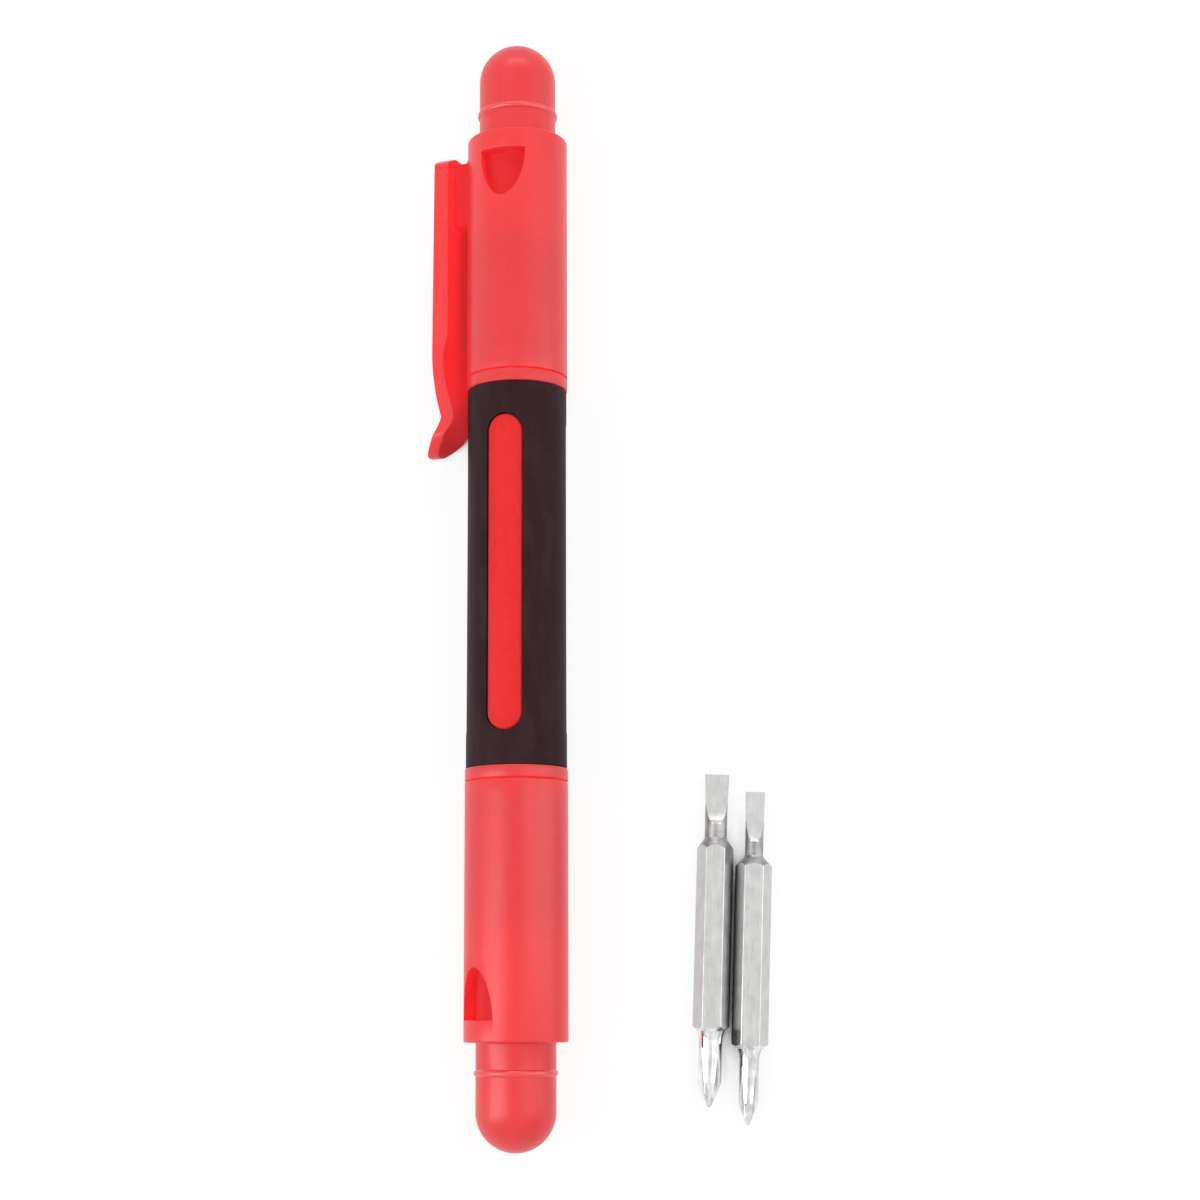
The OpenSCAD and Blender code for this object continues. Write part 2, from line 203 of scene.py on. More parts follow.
def settle(piece: bpy.types.Object, place: Matrix) -> bpy.types.Object:
    """Moves a piece by a matrix and leaves the move in its mesh.

    Args:
        piece: The piece to move.
        place: The move.

    Returns:
        The same piece, its object at the origin.
    """
    pick(piece)
    piece.matrix_world = place @ piece.matrix_world
    bpy.ops.object.transform_apply(location=True, rotation=True, scale=True)
    return piece


def carve(piece: bpy.types.Object, tool: bpy.types.Object, way: str = "DIFFERENCE") -> None:
    """Cuts a piece with a tool body, which is then thrown away.

    Args:
        piece: The piece to cut.
        tool: The closed body that cuts.
        way: DIFFERENCE, INTERSECT or UNION.
    """
    pick(piece)
    cut = piece.modifiers.new("cut", "BOOLEAN")
    cut.operation, cut.object, cut.solver = way, tool, "EXACT"
    bpy.ops.object.modifier_apply(modifier=cut.name)
    bpy.data.objects.remove(tool)


def soften(piece: bpy.types.Object, width: float, angle: float, steps: int) -> None:
    """Rounds the sharp edges of a piece.

    Args:
        piece: The piece.
        width: Width of the rounding in millimetres.
        angle: Edges sharper than this many degrees are rounded.
        steps: Faces across the rounding.
    """
    pick(piece)
    bevel = piece.modifiers.new("edge", "BEVEL")
    bevel.width, bevel.segments = width * MM, steps
    bevel.limit_method, bevel.angle_limit = "ANGLE", math.radians(angle)
    bpy.ops.object.modifier_apply(modifier=bevel.name)


def shade(piece: bpy.types.Object, angle: float) -> None:
    """Shades a piece smooth, with edges sharper than an angle kept crisp.

    Args:
        piece: The piece.
        angle: The angle in degrees.
    """
    pick(piece)
    bpy.ops.object.shade_smooth_by_angle(angle=math.radians(angle))


def turned(name: str, outline: Sequence[Point], sides: int, start: float = 0.0) -> bpy.types.Object:
    """Spins an outline about Z.

    Args:
        name: Name of the piece.
        outline: Radius and height of each point, in millimetres.
        sides: Steps round the axis.
        start: Angle of the first step, in degrees.

    Returns:
        The closed piece.
    """
    across = heading(start).to_3d()
    points = [(across * radius + Vector((0, 0, height))) * MM for radius, height in outline]
    clear()
    bpy.ops.mesh.primitive_plane_add(size=MM)
    piece = fresh(name)
    with editing(piece):
        bpy.ops.mesh.merge(type="CENTER")
        bpy.ops.transform.translate(value=points[0])
        for here, there in pairwise(points):
            pull(there - here)
        everything()
        bpy.ops.mesh.spin(steps=sides, angle=math.tau, center=(0, 0, 0), axis=(0, 0, 1))
        everything()
        bpy.ops.mesh.remove_doubles(threshold=0.002 * MM)
    return piece


def arc(centre: Point, radius: float, start: float, stop: float, steps: int) -> list[Point]:
    """Points on a circular arc of an outline.

    Args:
        centre: Its centre, as radius and height.
        radius: Its radius.
        start: First angle in degrees, from straight out.
        stop: Last angle.
        steps: Steps between them.

    Returns:
        The points.
    """
    turns = [math.radians(start + (stop - start) * i / steps) for i in range(steps + 1)]
    return [(centre[0] + radius * math.cos(t), centre[1] + radius * math.sin(t)) for t in turns]


def bead(radius: float, height: float, middle: float, width: float, steps: int = 8) -> list[Point]:
    """Outline of a raised ring on a round stretch, from low to high.

    Args:
        radius: Radius of the stretch it stands on.
        height: How far it stands out.
        middle: Height of its middle.
        width: Its width.
        steps: Steps across it.

    Returns:
        The points.
    """
    curve = ((width / 2) ** 2 + height**2) / (2 * height)
    half = math.degrees(math.asin(width / 2 / curve))
    return arc((radius + height - curve, middle), curve, -half, half, steps)


def stadium(name: str, size: Point, depth: Point, sides: int = 72) -> bpy.types.Object:
    """Slot-shaped body with full-round ends, long in Z, that reaches out along X.

    Args:
        name: Name of the piece.
        size: Its width along Y, and its length along Z over the ends.
        depth: Where it starts and ends along X.
        sides: Sides of its two ends together.

    Returns:
        The closed body.
    """
    width, length = size
    clear()
    bpy.ops.mesh.primitive_circle_add(vertices=sides, radius=width / 2 * MM, fill_type="NGON",
                                      location=(depth[0] * MM, 0, 0), rotation=(0, math.pi / 2, 0))
    piece = fresh(name)
    with editing(piece):
        bpy.ops.mesh.bisect(plane_co=(0, 0, 0), plane_no=(0, 0, 1))
        for way in (-1, 1):
            choose(piece, Part.VERTS, lambda v: v.co.z * way > 0.01 * MM)
            bpy.ops.transform.translate(value=(0, 0, way * (length - width) / 2 * MM))
        everything()
        pull(((depth[1] - depth[0]) * MM, 0, 0))
    return piece


# Shader bench


class Number:
    """A number in a material. Python's operators on it add Math nodes."""

    def __init__(self, bench: "NodeBench", socket: bpy.types.NodeSocket) -> None:
        """Wraps an output socket of a material.

        Args:
            bench: The material's bench.
            socket: The output that gives the number.
        """
        self.bench = bench
        self.socket = socket

    def __add__(self, other: "Number | float") -> "Number":
        """Sum."""
        return self.bench.maths("ADD", self, other)

    def __sub__(self, other: "Number | float") -> "Number":
        """Difference."""
        return self.bench.maths("SUBTRACT", self, other)

    def __rsub__(self, other: float) -> "Number":
        """Difference from a plain number."""
        return self.bench.maths("SUBTRACT", other, self)

    def __mul__(self, other: "Number | float") -> "Number":
        """Product."""
        return self.bench.maths("MULTIPLY", self, other)

    __radd__ = __add__
    __rmul__ = __mul__

    def above(self, low: float, high: float) -> "Number":
        """Rises smoothly from 0 to 1.

        Args:
            low: The number at which it is 0.
            high: The number at which it is 1.

        Returns:
            The new number.
        """
        node = self.bench.node("ShaderNodeMapRange", {"interpolation_type": "SMOOTHSTEP"},
                               {"Value": self, "From Min": low, "From Max": high})
        return Number(self.bench, node.outputs["Result"])


class NodeBench:
    """Node tree of one material, with short ways to add to it."""

    def __init__(self, name: str) -> None:
        """Starts a material.

        Args:
            name: Name of the material.
        """
        self.material = bpy.data.materials.new(name)
        self.material.use_nodes = True
        self.tree = self.material.node_tree
        self.shader = self.tree.nodes["Principled BSDF"]
        self.place = self.node("ShaderNodeTexCoord").outputs["Object"]

    def node(self, kind: str, settings: dict | None = None, inputs: dict | None = None,
             ) -> bpy.types.Node:
        """Adds a node.

        Args:
            kind: Its type.
            settings: Its own settings, such as a Math node's operation.
            inputs: Values or links of its sockets, by name or number.

        Returns:
            The node.
        """
        made = self.tree.nodes.new(kind)
        for key, value in (settings or {}).items():
            setattr(made, key, value)
        for key, value in (inputs or {}).items():
            self.feed(made.inputs[key], value)
        return made

    def feed(self, socket: bpy.types.NodeSocket, value: object) -> None:
        """Gives a socket a link or a plain value.

        Args:
            socket: The input socket.
            value: A Number, an output socket, a number, a colour or a vector.
        """
        source = value.socket if isinstance(value, Number) else value
        if isinstance(source, bpy.types.NodeSocket):
            self.tree.links.new(source, socket)
        elif socket.type == "RGBA":
            socket.default_value = (*source, 1)
        else:
            socket.default_value = source

    def maths(self, operation: str, first: "Number | float", second: "Number | float") -> Number:
        """Adds a Math node on two numbers and returns its result."""
        node = self.node("ShaderNodeMath", {"operation": operation}, {0: first, 1: second})
        return Number(self, node.outputs[0])

    def stretched(self, turn: float, scale: tuple[float, float, float]) -> bpy.types.NodeSocket:
        """Object coordinates turned about Z and stretched.

        Args:
            turn: Turn in degrees.
            scale: Scale along each axis, in cells per millimetre.

        Returns:
            The coordinates.
        """
        turned_place = self.node("ShaderNodeMapping", {"vector_type": "POINT"},
                                 {"Vector": self.place, "Rotation": (0, 0, math.radians(turn))})
        node = self.node("ShaderNodeVectorMath", {"operation": "MULTIPLY"},
                         {0: turned_place.outputs[0], 1: tuple(s / MM for s in scale)})
        return node.outputs[0]

    def noise(self, where: bpy.types.NodeSocket, detail: float = 2, rough: float = 0.5) -> Number:
        """Smooth noise from 0 to 1.

        Args:
            where: Coordinates in cells.
            detail: Octaves.
            rough: Share of the finer octaves.

        Returns:
            The noise.
        """
        node = self.node("ShaderNodeTexNoise", None,
                         {"Vector": where, "Scale": 1.0, "Detail": detail, "Roughness": rough})
        return Number(self, node.outputs["Fac"])

    def openness(self, reach: float) -> Number:
        """How much of the room a spot sees past what is within a reach in millimetres."""
        node = self.node("ShaderNodeAmbientOcclusion", {"samples": 8}, {"Distance": reach * MM})
        return Number(self, node.outputs["AO"])

    def blend(self, share: Number, first: object, second: object) -> bpy.types.NodeSocket:
        """Mixes two colours.

        Args:
            share: Share of the second.
            first: Colour at 0.
            second: Colour at 1.

        Returns:
            The mixed colour.
        """
        node = self.node("ShaderNodeMix", {"data_type": "RGBA"}, {0: share, 6: first, 7: second})
        return node.outputs[2]

    def relief(self, height: Number, depth: float, below: object = None) -> bpy.types.NodeSocket:
        """Bump from a height between 0 and 1.

        Args:
            height: The height.
            depth: Height of 1, in millimetres.
            below: Normal of a coarser relief, or None.

        Returns:
            The normal.
        """
        inputs = {"Height": height, "Distance": depth * MM, "Strength": 1.0}
        if below is not None:
            inputs["Normal"] = below
        return self.node("ShaderNodeBump", None, inputs).outputs[0]

    def finish(self, **sockets: object) -> bpy.types.Material:
        """Feeds the shader's sockets, named with _ for a space.

        Args:
            sockets: Value or link of each socket.

        Returns:
            The material.
        """
        for key, value in sockets.items():
            self.feed(self.shader.inputs[key.replace("_", " ")], value)
        return self.material


def linear(red: int, green: int, blue: int) -> Colour:
    """Turns an 8-bit screen colour into the linear one that a shader takes.

    Args:
        red: Red, from 0 to 255.
        green: Green.
        blue: Blue.

    Returns:
        The linear colour.
    """
    def one(value: int) -> float:
        """Turns one channel."""
        share = value / 255
        return share / 12.92 if share <= 0.04045 else ((share + 0.055) / 1.055) ** 2.4
    return one(red), one(green), one(blue)


# Finishes


@dataclass(frozen=True)
class MouldedPlastic:
    """Satin moulded plastic with a fine spark-eroded grain, faint flow streaks and an optional painted
    glow that fills the shade in hollows.
    """

    name: str
    colour: Colour
    deep: Colour
    roughness: float = 0.36
    grain: float = 0.004
    shine: float = 0.6
    glow: float = 0.6
    sheen: float = 0.02
    # Strength of a painted glow in the plastic's colour where the spot is hemmed in; 0 paints none.
    painted_glow: float = 0.0

    def make(self) -> bpy.types.Material:
        """Builds the material.

        Returns:
            The material.
        """
        bench = NodeBench(self.name)
        flow = bench.noise(bench.stretched(0, (0.5, 0.045, 0.5)), 3)
        mottle = bench.noise(bench.stretched(0, (0.9, 0.9, 0.9)), 2)
        grain = bench.noise(bench.stretched(0, (7, 7, 7)), 3, 0.6)
        fine = bench.noise(bench.stretched(0, (3.2, 0.35, 3.2)), 2)
        tone = (flow * 0.65 + mottle * 0.35).above(0.36, 0.64)
        normal = bench.relief(flow, 0.012)
        # Painted light: an emission in the plastic's colour, strongest where little of the room is seen
        # within 4 mm, fills the shade in hollows and gaps.
        if self.painted_glow:
            free = bench.openness(4).above(0.12, 0.9)
            painted_light_colour = tuple(share * self.painted_glow for share in self.colour)
            bench.finish(Emission_Color=bench.blend(free, painted_light_colour, (0, 0, 0)), Emission_Strength=1.0)
        return bench.finish(
            Base_Color=bench.blend(tone, self.deep, self.colour),
            Roughness=self.roughness + (grain - 0.5) * 0.14 + (fine - 0.5) * 0.08,
            Normal=bench.relief(grain, self.grain, bench.relief(fine, 0.003, normal)),
            Specular_IOR_Level=self.shine,
            Subsurface_Weight=self.glow,
            Subsurface_Radius=(1.0, 0.1, 0.1),
            Subsurface_Scale=4 * MM,
            Sheen_Weight=self.sheen,
            Sheen_Roughness=0.4,
        )


@dataclass(frozen=True)
class GripRubber:
    """Soft over-moulded rubber: brownish black, matt, with a fine grain and a little dust."""

    name: str
    colour: Colour
    dust: Colour
    roughness: float = 0.55

    def make(self) -> bpy.types.Material:
        """Builds the material.

        Returns:
            The material.
        """
        bench = NodeBench(self.name)
        grain = bench.noise(bench.stretched(0, (5.5, 5.5, 5.5)), 3, 0.65)
        patches = bench.noise(bench.stretched(0, (0.5, 0.16, 0.5)), 3)
        specks = bench.noise(bench.stretched(0, (3.4, 3.4, 3.4)), 1).above(0.7, 0.78)
        shown = patches.above(0.4, 0.7) * 0.35 + specks * 0.4
        return bench.finish(
            Base_Color=bench.blend(shown, self.colour, self.dust),
            Roughness=self.roughness + (grain - 0.5) * 0.2 + (patches - 0.5) * 0.12,
            Normal=bench.relief(grain, 0.012),
            Specular_IOR_Level=0.08,
        )


@dataclass(frozen=True)
class Steel:
    """Satin steel with the fine lines of its making, and optional painted shade where it is hemmed in.
    """

    name: str
    colour: Colour
    dull: Colour
    mark: SteelMark
    roughness: float = 0.3
    lean: float = 0.0
    # Colour of the painted shade, then its reach in millimetres and the openness at which the shade is
    # full and at which it ends.
    painted_shade_colour: Colour | None = None
    painted_shade_span: tuple[float, float, float] = (1.6, 0.3, 0.72)

    def make(self) -> bpy.types.Material:
        """Builds the material.

        Returns:
            The material.
        """
        bench = NodeBench(self.name)
        scale = {SteelMark.TURNED: (0.3, 9, 0.3), SteelMark.DRAWN: (11, 0.22, 11),
                 SteelMark.PLAIN: (3, 3, 3), SteelMark.POLISHED: (2.4, 0.07, 2.4)}[self.mark]
        lines = bench.noise(bench.stretched(self.lean, scale), 3, 0.6)
        cloud = bench.noise(bench.stretched(0, (0.8, 0.5, 0.8)), 3)
        bare = bench.blend((lines * 0.5 + cloud * 0.5).above(0.3, 0.7), self.dull, self.colour)
        # Painted shade: the colour goes towards the dark one where little of the room is seen within the
        # reach, as between close pieces or beside the table.
        if self.painted_shade_colour:
            reach, shut, free = self.painted_shade_span
            unshaded_share = (bench.openness(reach) + (lines - 0.5) * 0.15).above(shut, free)
            bare = bench.blend(unshaded_share, self.painted_shade_colour, bare)
        return bench.finish(
            Base_Color=bare,
            Metallic=1.0,
            Roughness=self.roughness + (lines - 0.5) * 0.2 + (cloud - 0.5) * 0.12,
            Normal=bench.relief(lines, 0.003),
        )


CAP_PLASTIC = MouldedPlastic("red_cap_plastic", linear(239, 52, 56), linear(235, 46, 50))
# Less shine, and a faint painted glow that fills the shade in the thumb recess and at the mouth's rim.
RECESS_PLASTIC = MouldedPlastic("red_recess_plastic", linear(238, 56, 62), linear(234, 52, 58), 0.6,
                                0.003, 0.05, 0.9, 0.0, 0.14)
# Narrow places, hollows and gaps, where a painted glow in the plastic's colour fills the shade.
GAP_GLOW_PLASTIC = MouldedPlastic("red_plastic_painted_gap_glow", linear(240, 58, 64), linear(236, 54, 60), 0.6,
                              0.003, 0.05, 0.9, 0.0, 0.38)
BEAD_PLASTIC = MouldedPlastic("red_bead_plastic", linear(240, 50, 54), linear(235, 46, 50), 0.12,
                              0.001, 1.0, 0.6, 0.0)
CORE_PLASTIC = MouldedPlastic("red_core_plastic", linear(242, 50, 48), linear(238, 43, 43), 0.5,
                              0.004, 0.15, 0.6, 0.0)
RUBBER = GripRubber("grip_rubber", linear(47, 27, 31), linear(66, 50, 53))
# Paints shade on the bits' faces that face each other or the table.
BIT_STEEL = Steel("satin_bit_steel", linear(212, 212, 211), linear(190, 190, 189),
                  SteelMark.DRAWN, 0.31, BITS_LEAN, linear(92, 92, 94))
# Paints the shaft's sides and flutes dark over a 6 mm reach, standing in for the shaded table that they
# would reflect.
SHAFT_STEEL = Steel("polished_shaft_steel", linear(250, 250, 250), linear(186, 186, 187),
                    SteelMark.POLISHED, 0.16, BITS_LEAN, linear(66, 66, 68), (6.0, 0.42, 0.78))
# Paints shade where the neck is hemmed in.
NECK_STEEL = Steel("turned_neck_steel", linear(186, 186, 186), linear(132, 132, 133),
                   SteelMark.TURNED, 0.42, BITS_LEAN, linear(70, 70, 72))
SOCKET_STEEL = Steel("turned_socket_steel", linear(190, 190, 192), linear(160, 160, 163),
                     SteelMark.TURNED, 0.3)
RING_STEEL = Steel("spring_wire_steel", linear(150, 150, 154), linear(120, 120, 124),
                   SteelMark.PLAIN, 0.35)


Finish = MouldedPlastic | GripRubber | Steel


class FinishShelf:
    """Materials of this object, each made once."""

    def __init__(self) -> None:
        """Starts with nothing made."""
        self.made: dict[str, bpy.types.Material] = {}

    def dress(self, piece: bpy.types.Object, finish: Finish) -> None:
        """Gives a piece or a carried-over node its finish.

        Args:
            piece: What to dress.
            finish: The finish.
        """
        if not piece.material_slots:
            piece.data.materials.append(self.take(finish))
        for slot in piece.material_slots:
            slot.material = self.take(finish)

    def take(self, finish: Finish) -> bpy.types.Material:
        """Gives the material of a finish, made when it is first asked for.

        Args:
            finish: The finish.

        Returns:
            The material.
        """
        if finish.name not in self.made:
            self.made[finish.name] = finish.make()
        return self.made[finish.name]

    def dress_part(self, piece: bpy.types.Object, finish: Finish,
                   wanted: Callable[[bpy.types.MeshPolygon], bool]) -> None:
        """Gives some faces of a dressed piece another finish.

        Args:
            piece: The piece.
            finish: Their finish.
            wanted: Test that a face has to pass.
        """
        piece.data.materials.append(self.take(finish))
        for face in piece.data.polygons:
            if wanted(face):
                face.material_index = len(piece.data.materials) - 1


# Pieces


@dataclass
class Cap:
    """Hollow cap with a domed nose, a snap bead and a thumb recess."""

    name: str
    node: str
    place: Matrix
    recess_turn: float
    barrel_r: float = 6.775
    mouth: float = 27.3
    shoulder: float = 60.75
    nose_r: float = 5.2
    nose_len: float = 8.7
    bore_r: float = 5.53
    bore_len: float = 18.0
    space_r: float = 3.6
    snap: Point = (30.3, 31.6)
    snap_r: float = 5.73
    bead_h: float = 0.27
    bead_w: float = 0.9
    bead_inset: float = 3.85
    round_shoulder: float = 0.3
    round_rim: float = 0.1
    round_foot: float = 0.2
    bore_bevel: float = 0.2
    rings: tuple[float, ...] = (2, 12, 22)
    recess: Point = (6.3, 6.7)
    recess_inset: float = 2.8
    recess_floor: float = 5.175
    lip_angle: float = 25
    lip_round: float = 0.09
    near: float = 0.05
    sides: int = 144

    def outline(self) -> list[Point]:
        """Outline of the shell, from the top of its space to the top of its dome.

        Returns:
            The points, as radius and height.
        """
        dome = self.shoulder + self.nose_len
        edge, rim = self.barrel_r - self.round_shoulder, self.barrel_r - self.round_rim
        cone = self.mouth + self.bore_len
        return [
            *arc((0, dome), self.space_r, 90, 0, 10),
            (self.space_r, cone + self.bore_r - self.space_r),
            (self.bore_r, cone),
            (self.bore_r, self.snap[1]), (self.snap_r, self.snap[1]),
            (self.snap_r, self.snap[0]), (self.bore_r, self.snap[0]),
            (self.bore_r, self.mouth + self.bore_bevel), (self.bore_r + self.bore_bevel, self.mouth),
            *arc((rim, self.mouth + self.round_rim), self.round_rim, -90, 0, 3),
            *((self.barrel_r, self.mouth + ring) for ring in self.rings),
            *arc((edge, self.shoulder - self.round_shoulder), self.round_shoulder, 0, 90, 5),
            (self.nose_r + 0.45, self.shoulder),
            *arc((self.nose_r + self.round_foot, self.shoulder + self.round_foot), self.round_foot,
                 270, 180, 3),
            *bead(self.nose_r, self.bead_h, self.shoulder + self.bead_inset, self.bead_w),
            *arc((0, dome), self.nose_r, 0, 90, 24),
        ]

    def recess_tool(self) -> bpy.types.Object:
        """Body that cuts the thumb recess: half an ellipse in outline, with a round floor.

        Returns:
            The closed body.
        """
        edge = (self.shoulder - self.recess_inset) * MM
        start = (self.recess_floor - 2.5) * MM
        clear()
        bpy.ops.mesh.primitive_circle_add(vertices=96, radius=MM, fill_type="NGON",
                                          location=(start, 0, edge), rotation=(0, math.pi / 2, 0))
        tool = fresh("recess_tool")
        with editing(tool):
            bpy.ops.transform.resize(value=(1, self.recess[0] / 2, self.recess[1]),
                                     center_override=(start, 0, edge))
            everything()
            bpy.ops.mesh.bisect(plane_co=(0, 0, edge), plane_no=(0, 0, 1), clear_outer=True)
            everything()
            pull((self.barrel_r * MM, 0, 0))
        settle(tool, about_z(self.recess_turn))
        low, high = edge / MM - self.recess[1] - 1, edge / MM + 1
        floor = turned("floor", [(0, low), (self.recess_floor, low), (self.recess_floor, high),
                                 (0, high)], 96)
        carve(tool, floor)
        return tool

    def in_recess(self, face: bpy.types.MeshPolygon) -> bool:
        """Tells whether a face is on the floor or the wall of the thumb recess.

        Args:
            face: A face of the shell, before it is laid down.

        Returns:
            True if it is.
        """
        far, height = face.center.xy.length / MM, face.center.z / MM
        top = self.shoulder - self.recess_inset
        facing = face.center.xy.normalized().dot(heading(self.recess_turn))
        return (self.recess_floor - self.near < far < self.barrel_r - 0.06 and facing > 0.8
                and top - self.recess[1] - self.near < height < top + self.near)

    def on_bead(self, face: bpy.types.MeshPolygon) -> bool:
        """Tells whether a face is on the snap bead."""
        away = abs(face.center.z / MM - self.shoulder - self.bead_inset)
        return away < self.bead_w / 2 and face.center.xy.length > (self.nose_r + 0.02) * MM

    def on_rim(self, face: bpy.types.MeshPolygon) -> bool:
        """Tells whether a face is on the rim of the mouth."""
        return face.center.z < (self.mouth + 0.04) * MM

    def build(self, shelf: FinishShelf, body: str) -> bpy.types.Object:
        """Models the shell, dresses it and lets it ride.

        Args:
            shelf: The finishes.
            body: The body that it rides on.

        Returns:
            The shell.
        """
        shell = turned(self.name, self.outline(), self.sides)
        carve(shell, self.recess_tool())
        with editing(shell):
            bpy.ops.mesh.remove_doubles(threshold=0.03 * MM)
            low, high = self.shoulder - self.recess_inset - self.recess[1], self.shoulder - 2
            out = self.barrel_r - 0.35

            def on_lip(spot: Vector) -> bool:
                """Tells whether a spot is at the recess's rim."""
                return low * MM < spot.z < high * MM and spot.xy.length > out * MM

            choose(shell, Part.EDGES, lambda edge: is_sharp(edge, self.lip_angle, on_lip))
            bpy.ops.mesh.bevel(offset=self.lip_round * MM, segments=2, clamp_overlap=True)
        shelf.dress(shell, CAP_PLASTIC)
        # The recess and the mouth's rim get a faint painted glow that fills their shade.
        shelf.dress_part(shell, RECESS_PLASTIC, self.in_recess)
        shelf.dress_part(shell, BEAD_PLASTIC, self.on_bead)
        shelf.dress_part(shell, RECESS_PLASTIC, self.on_rim)
        shade(settle(shell, self.place), CRISP)
        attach(shell, body)
        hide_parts(self.node)
        return shell


@dataclass
class PocketClip:
    """Spring clip of the upper cap, with the web that joins it to the cap."""

    width: float = 6.8
    inner_r: float = 8.825
    out_r: float = 11.025
    splay: float = 0.15
    tip: float = 17.35
    length: float = 42.0
    kink: float = 4.9
    bend: float = 9.4
    dip: float = 1.4
    flare: float = 3.05
    flare_power: float = 1.3
    tip_round: float = 2.5
    top_round: float = 1.3
    top_corner: float = 0.8
    edge_round: float = 0.32
    steps: Point = (0.3, 0.8)
    taper: float = 1.2
    thickest: float = 2.45
    hollow: float = 0.7
    blunt: float = 0.25
    crisp: float = 50
    flex_line: float = 49.3
    web_w: float = 3.2
    web: Point = (49.5, 58.4)
    thickness: tuple[Point, ...] = ((0, 1.6), (4.9, 2.2), (10.07, 1.75), (14.3, 1.75),
                                    (15.71, 2.45), (42, 2.2))

    def outer(self, s: float) -> float:
        """Outer radius of the clip.

        Args:
            s: Distance from its tip.

        Returns:
            The radius.
        """
        bend_r, start = self.out_r + self.splay, self.kink + self.bend
        if s < self.kink:
            return bend_r - self.dip + self.flare * (1 - s / self.kink) ** self.flare_power
        if s < start:
            return bend_r - self.dip * ((start - s) / self.bend) ** 2
        return bend_r - self.splay * (s - start) / (self.length - start)

    def thick(self, s: float) -> float:
        """Thickness of the clip.

        Args:
            s: Distance from its tip.

        Returns:
            The thickness.
        """
        for (here, thick), (there, thicker) in pairwise(self.thickness):
            if s <= there:
                return thick + (thicker - thick) * max(s - here, 0) / (there - here)
        return self.thickness[-1][1]

    def inner(self, s: float) -> float:
        """Inner radius of the clip, with the folds eased over two millimetres.

        Args:
            s: Distance from its tip.

        Returns:
            The radius.
        """
        if not 1 < s < self.length - 1:
            return self.outer(s) - self.thick(s)
        near = [s + step / 4 for step in range(-4, 5)]
        return sum(self.outer(t) - self.thick(t) for t in near) / len(near)

    def swell(self, s: float) -> float:
        """How much thicker the clip's lower edge is than its upper one."""
        lost = max(0, self.thickest - self.thick(s))
        return self.taper * min(1, max(0, s - self.kink) / 2) * lost / self.hollow

    def station(self, s: float) -> tuple[float, float, float]:
        """Section of the clip at a distance from its tip.

        Args:
            s: The distance.

        Returns:
            Its middle radius, its thickness and its width.
        """
        low, high, left = self.inner(s), self.outer(s), self.length - s
        if left < self.top_corner:
            high -= self.top_corner - math.sqrt(self.top_corner**2 - (self.top_corner - left) ** 2)
        for end in (s, left):
            if end < self.blunt:
                back = self.blunt - math.sqrt(self.blunt**2 - (self.blunt - end) ** 2)
                low, high = low + back, high - back
        share = min(1, (s + 0.03) / self.tip_round, (left + 0.03) / self.top_round)
        return (low + high) / 2, max(high - low, 0.3), self.width * math.sqrt(share)

    def arm(self) -> bpy.types.Object:
        """Draws the clip out from a rounded face at its tip, station by station.

        Returns:
            The closed clip.
        """
        tip = [self.tip_round * (k / 9) ** 2 for k in range(10)]
        top = [self.length - self.top_round * (k / 8) ** 2 for k in range(8, -1, -1)]
        fine, coarse = self.steps
        bends = [self.tip_round + fine * k for k in range(1, 44)]
        rest = [bends[-1] + coarse * k for k in range(1, 32) if bends[-1] + coarse * k < top[0] - 0.2]
        stations = [*tip, *bends, *rest, *top]
        base_t, base_w = self.thickness[-1][1], self.width
        clear()
        bpy.ops.mesh.primitive_plane_add(size=MM)
        clip = fresh("pocket_clip_moulding")
        with editing(clip):
            bpy.ops.transform.resize(value=(base_t, base_w, 1), center_override=(0, 0, 0))
            bpy.ops.mesh.bevel(offset=self.edge_round * MM, segments=4, affect="VERTICES")
            choose(clip, Part.FACES, lambda face: True)
            last = (0.0, base_t, base_w, 0.0)
            for number, s in enumerate(stations):
                middle, thick, wide = self.station(s)
                height = self.tip + s
                step = Vector((middle - last[0], 0, height - last[3])) * MM
                if number:
                    pull(step)
                else:
                    bpy.ops.transform.translate(value=step)
                bpy.ops.transform.resize(value=(thick / last[1], wide / last[2], 1),
                                         center_override=(middle * MM, 0, height * MM))
                last = (middle, thick, wide, height)
        for vertex in clip.data.vertices:
            s = vertex.co.z / MM - self.tip
            deep = (self.outer(s) - vertex.co.x / MM) / self.thick(s)
            vertex.co.x -= self.swell(s) * deep * (0.5 - vertex.co.y / MM / self.width) * MM
        return clip

    def foot(self) -> bpy.types.Object:
        """Draws the web out from the cap, wider where it runs into the cap and the clip.

        Returns:
            The closed web.
        """
        low, high = self.web
        middle, tall = (low + high) / 2, high - low
        rings = ((6.1, 0.45), (6.62, 0.45), (6.75, 0.2), (6.95, 0.06), (7.2, 0), (8.5, 0),
                 (8.72, 0.06), (8.86, 0.2), (9.1, 0.3))
        centre = (rings[0][0] * MM, 0, middle * MM)
        clear()
        bpy.ops.mesh.primitive_plane_add(size=MM, location=centre, rotation=(0, math.pi / 2, 0))
        web = fresh("clip_web")
        with editing(web):
            last = (self.web_w + 2 * rings[0][1], tall + rings[0][1])
            bpy.ops.transform.resize(value=(1, last[0], last[1]), center_override=centre)
            bpy.ops.mesh.bevel(offset=0.35 * MM, segments=3, affect="VERTICES")
            choose(web, Part.FACES, lambda face: True)
            for (here, _), (there, grow) in pairwise(rings):
                pull(((there - here) * MM, 0, 0))
                size = (self.web_w + 2 * grow, tall + grow)
                bpy.ops.transform.resize(value=(1, size[0] / last[0], size[1] / last[1]),
                                         center_override=(there * MM, 0, middle * MM))
                last = size
        return web

